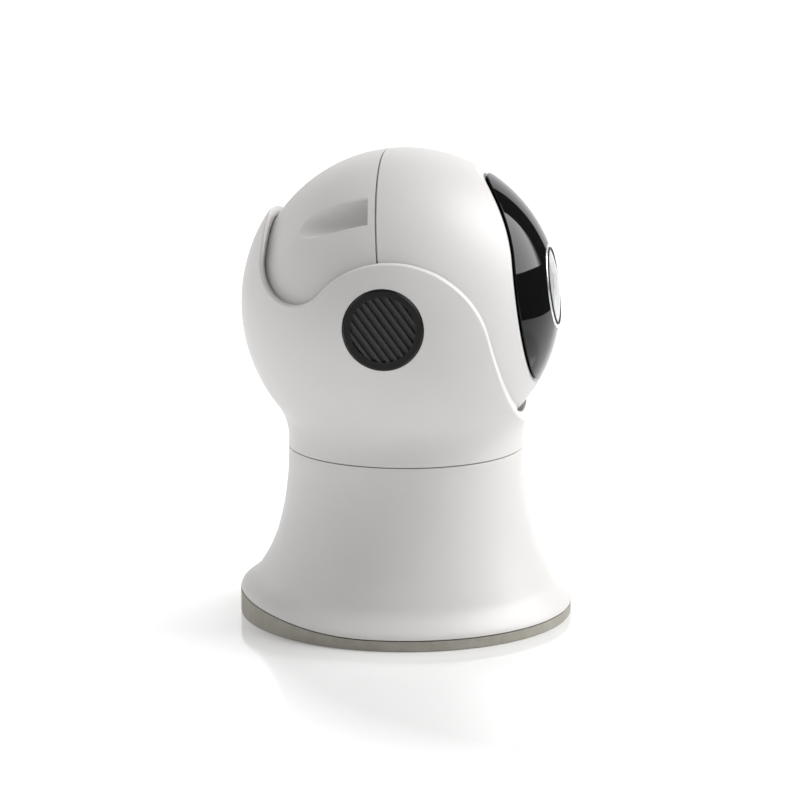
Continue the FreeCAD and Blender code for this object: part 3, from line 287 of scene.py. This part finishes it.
def ring_silver():
    f = Finish("ring_silver", Metallic=1.0)
    turned_lines = f.noise(0.00035, 2.0, f.stretched((1.0, 6.0, 1.0)))
    cloud = f.noise(0.003, 4.0)
    f.colour(f.ramp(cloud, [(0.3, (0.83, 0.84, 0.85)), (0.7, (0.90, 0.90, 0.91))]))
    f.roughness(f.spread(f.mix(0.5, turned_lines, cloud), 0.22, 0.36))
    f.bump(turned_lines, 0.000002)
    return f.material


FINISHES = {
    "white_shell": white_shell(),
    "foot_rubber": foot_rubber(),
    "visor_black": visor_black(),
    "grille_black": grille_black(),
    "ring_silver": ring_silver(),
    "window_clear": window_clear(),
    "lens_black": moulded("lens_black", (0.012, 0.012, 0.012), 0.6, 0.0003, 0.00001, 0.2),
    "lens_glass": clear("lens_glass", (0.86, 0.9, 0.98), 0.0, 1.62),
    "filter_glass": clear("filter_glass", (0.85, 0.6, 0.66), 0.01, 1.52),
    "led_clear": clear("led_clear", (0.95, 0.95, 0.98), 0.05, 1.55),
    "inner_plastic": moulded("inner_plastic", (0.035, 0.035, 0.037), 0.5),
    "speaker_black": moulded("speaker_black", (0.014, 0.014, 0.014), 0.55, 0.0006, 0.00002, 0.2),
    "circuit_board": laminate("circuit_board", (0.006, 0.07, 0.03), (0.02, 0.16, 0.075)),
    "antenna_board": laminate("antenna_board", (0.05, 0.032, 0.008), (0.25, 0.14, 0.05)),
    "chip_black": moulded("chip_black", (0.02, 0.02, 0.021), 0.55, 0.00015, 0.000006, 0.1),
    "button_grey": moulded("button_grey", (0.19, 0.19, 0.19), 0.42),
    "screw_steel": metal("screw_steel", (0.6, 0.6, 0.61), 0.32, (1.0, 1.0, 5.0)),
    "ballast_steel": metal("ballast_steel", (0.36, 0.36, 0.37), 0.45, (1.0, 9.0, 1.0), 0.00001),
    "socket_steel": metal("socket_steel", (0.72, 0.72, 0.7), 0.28, (8.0, 1.0, 1.0)),
    "motor_can": metal("motor_can", (0.58, 0.58, 0.56), 0.38, (1.0, 1.0, 6.0)),
    "sink_aluminium": metal("sink_aluminium", (0.42, 0.42, 0.44), 0.42, (1.0, 1.0, 9.0), 0.000008),
    "gear_nylon": moulded("gear_nylon", (0.74, 0.71, 0.62), 0.42, Subsurface_Weight=0.05),
    "slip_nylon": moulded("slip_nylon", (0.66, 0.66, 0.62), 0.48, Subsurface_Weight=0.05),
}


def dress_nodes():
    """Every CAD node takes the finish of its slot in the record."""
    slots = {part["node"]: part["material_slot"] for part in frame["record"]["subparts"]}
    for name, node in frame["nodes"].items():
        node.data.materials.clear()
        node.data.materials.append(FINISHES[slots[name]])


# ================================================================ the studio
def add_camera():
    a = math.radians(AZIMUTH)
    p = math.radians(PITCH)
    back = Vector((math.sin(a), -math.cos(a), 0.0))
    forward = -back * math.cos(p) - Vector((0.0, 0.0, math.sin(p)))
    data = bpy.data.cameras.new("camera")
    data.lens = LENS_MM
    data.sensor_width = SENSOR_MM
    data.shift_x = SHIFT_X
    data.clip_start = CLIP_START
    data.clip_end = CLIP_END
    camera = bpy.data.objects.new("camera", data)
    camera.location = back * DISTANCE + Vector((0.0, 0.0, CAMERA_Z))
    camera.rotation_mode = "QUATERNION"
    camera.rotation_quaternion = forward.to_track_quat("-Z", "Y")
    bpy.context.scene.collection.objects.link(camera)
    bpy.context.scene.camera = camera


def around(azimuth, elevation, distance, up=MIDDLE_UP):
    """A point given in degrees round the object as the camera sees it: 0 is right, 90 is towards
    the camera, 180 left and 270 behind."""
    turn, lift = math.radians(azimuth), math.radians(elevation)
    a = math.radians(AZIMUTH)
    across = Vector((math.cos(a), math.sin(a), 0.0))
    back = Vector((math.sin(a), -math.cos(a), 0.0))
    level = across * math.cos(turn) + back * math.sin(turn)
    return (level * math.cos(lift) + Vector((0.0, 0.0, math.sin(lift)))) * distance + Vector((0.0, 0.0, up))


def place(thing, point, aim=Vector((0.0, 0.0, MIDDLE_UP))):
    thing.location = point
    thing.rotation_mode = "QUATERNION"
    thing.rotation_quaternion = (aim - point).to_track_quat("-Z", "Y")
    bpy.context.scene.collection.objects.link(thing)


# name: azimuth, elevation, distance, width, height, power
LIGHTS = {
    "softbox_right": (351, 30, 1.0, 1.08, 0.86, 5.1),
    "key_high": (0, 52, 1.3, 0.6, 0.6, 10.0),
    "top": (0, 90, 1.5, 1.5, 1.5, 0.3),
    "left_rear": (215, 20, 1.3, 0.6, 0.8, 2.3),
    "left": (172, 30, 1.3, 0.6, 0.8, 2.3),
    "fill": (100, 35, 1.5, 0.9, 0.9, 0.5),
}
# Cards that only reflections see: azimuth, elevation, distance, width, height, roll, glow
CARDS = {
    "dark_card_low": (345, 1, 0.52, 0.75, 0.24, -11, 0.0),
    "dark_card_side": (313, 24, 0.62, 0.20, 0.62, 0, 0.0),
    "bright_card": (343, 30, 0.93, 0.66, 0.72, -10, 4.6),
}
CARDS_UP = 0.066
WORLD_STRENGTH = 0.23
BACKDROP_SIZE = (1.76, 1.1)
BACKDROP_BEHIND = 1.3
BACKDROP_UP = 0.55
BACKDROP_STRENGTH = 1.02
FLOOR_SIZE = 24.0
FLOOR_GLOW = 0.10           # in a patch beside the object
FLOOR_GLOW_FAR = 0.40       # outside the patch, where it fades reflections and shadows out
DIM_PATCH = (0.16, 0.04, 0.235, 0.16)   # the patch: centre right and nearer, half width and depth


def add_lights():
    for name, (azimuth, elevation, distance, width, height, power) in LIGHTS.items():
        data = bpy.data.lights.new(name, "AREA")
        data.shape = "RECTANGLE"
        data.size = width
        data.size_y = height
        data.energy = power
        light = bpy.data.objects.new(name, data)
        light.visible_camera = False
        place(light, around(azimuth, elevation, distance))
    world = bpy.data.worlds.new("studio")
    world.use_nodes = True
    background = world.node_tree.nodes["Background"]
    background.inputs["Color"].default_value = (*WHITE, 1.0)
    background.inputs["Strength"].default_value = WORLD_STRENGTH
    bpy.context.scene.world = world


def panel(name, width, height):
    """A flat sheet of the studio, upright about its own centre."""
    w, h = width / 2, height / 2
    mesh = bpy.data.meshes.new(name)
    mesh.from_pydata([(-w, -h, 0.0), (w, -h, 0.0), (w, h, 0.0), (-w, h, 0.0)], [], [(0, 1, 2, 3)])
    sheet = bpy.data.objects.new(name, mesh)
    return sheet


def add_backdrop():
    backdrop = panel("backdrop", *BACKDROP_SIZE)
    point = around(270, 0, BACKDROP_BEHIND, BACKDROP_UP)
    place(backdrop, point, Vector((0.0, 0.0, point.z)))
    f = Finish("backdrop_white", Emission_Strength=BACKDROP_STRENGTH)
    f.shader.inputs["Emission Color"].default_value = (*WHITE, 1.0)
    f.colour(f.ramp(f.noise(0.4), [(0.3, (0.03, 0.03, 0.03)), (0.7, (0.04, 0.04, 0.04))]))
    backdrop.data.materials.append(f.material)


def add_cards():
    """Cards that shape what the glossy visor mirrors."""
    for name, (azimuth, elevation, distance, width, height, roll, glow) in CARDS.items():
        card = panel(name, width, height)
        place(card, around(azimuth, elevation, distance, CARDS_UP))
        card.rotation_quaternion @= Quaternion((0.0, 0.0, 1.0), math.radians(roll))
        card.visible_camera = card.visible_diffuse = card.visible_shadow = False
        f = Finish(name, Roughness=0.9, Emission_Strength=glow)
        f.shader.inputs["Emission Color"].default_value = (*WHITE, 1.0)
        f.colour(f.ramp(f.noise(0.1), [(0.3, (0.004, 0.004, 0.004)), (0.7, (0.006, 0.006, 0.006))]))
        card.data.materials.append(f.material)


def add_floor():
    """A pale floor that glows a little, less so in the patch beside the object."""
    floor = panel("floor", FLOOR_SIZE, FLOOR_SIZE)
    bpy.context.scene.collection.objects.link(floor)
    f = Finish("floor_white", IOR=1.8)
    f.shader.inputs["Emission Color"].default_value = (*WHITE, 1.0)
    right, nearer, half_width, half_depth = DIM_PATCH
    centre = around(0, 0, right, 0.0) + around(90, 0, nearer, 0.0)
    fade = f.disc_fade(centre, (half_width, half_depth, 1.0), (0.0, 0.0, math.radians(AZIMUTH)))
    glow = f.spread(fade, FLOOR_GLOW_FAR, FLOOR_GLOW, 0.0, 0.18)
    f.link(glow, f.shader.inputs["Emission Strength"])
    cloud = f.noise(0.4, 2.0)
    f.colour(f.ramp(cloud, [(0.3, (0.84, 0.84, 0.84)), (0.7, (0.86, 0.86, 0.86))]))
    f.roughness(f.spread(cloud, 0.08, 0.12))
    floor.data.materials.append(f.material)


dress_nodes()
add_camera()
add_lights()
add_backdrop()
add_cards()
add_floor()
bpy.context.scene.view_settings.view_transform = "Standard"
